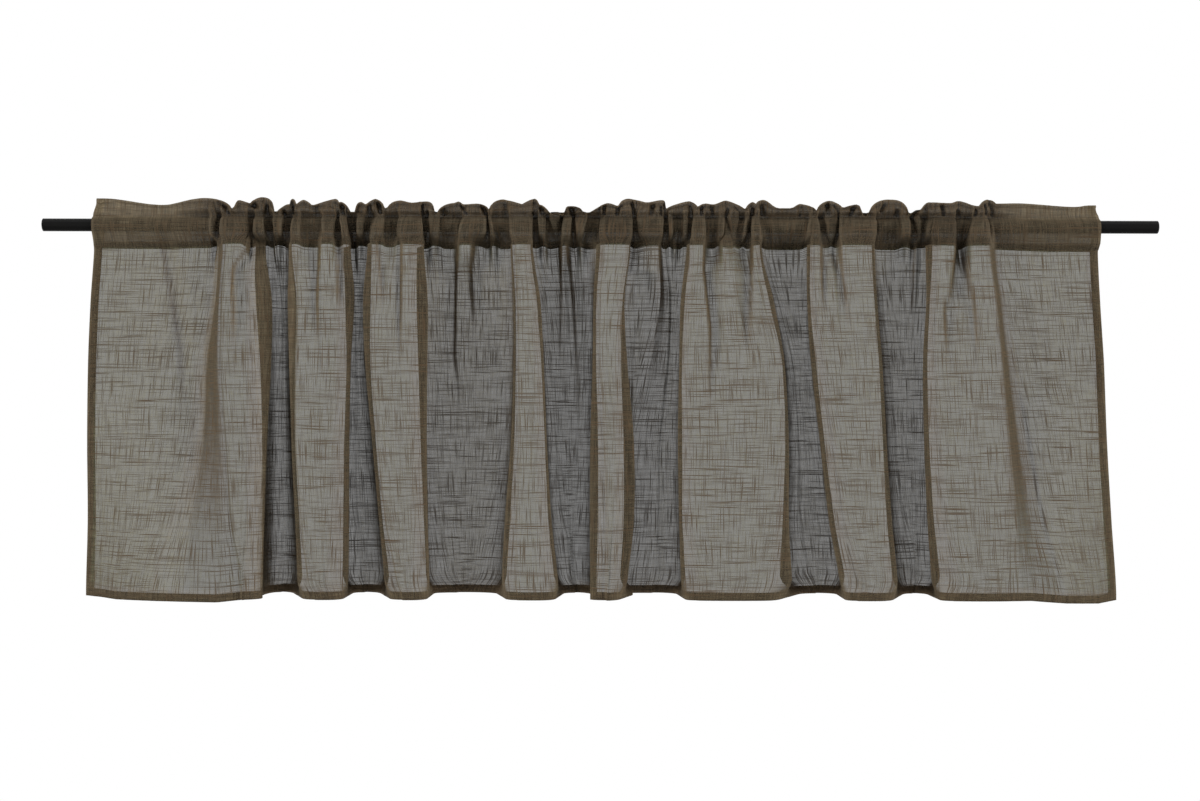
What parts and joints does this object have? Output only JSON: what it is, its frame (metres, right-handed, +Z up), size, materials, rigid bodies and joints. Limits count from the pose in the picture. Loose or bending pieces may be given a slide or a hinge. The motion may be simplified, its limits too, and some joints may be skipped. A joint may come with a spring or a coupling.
{
  "type": "window valance on a curtain rod",
  "caption": "Short sheer slub-weave window valance with a stitched rod pocket and ruffled heading, gathered on a plain round curtain rod.",
  "frame": {"origin": "on the rod's axis at the middle of its length", "axes": "+Z up, +X along the rod to the right as seen from the room, -Y towards the room"},
  "size_m": [1.392, 0.0856, 0.498],
  "materials": {
    "voile": "matt sheer slub weave, grey-brown",
    "rod_paint": "satin black paint"
  },
  "bodies": {
    "root": {"valance_cloth": "voile", "rod": "rod_paint"}
  },
  "joints": []
}
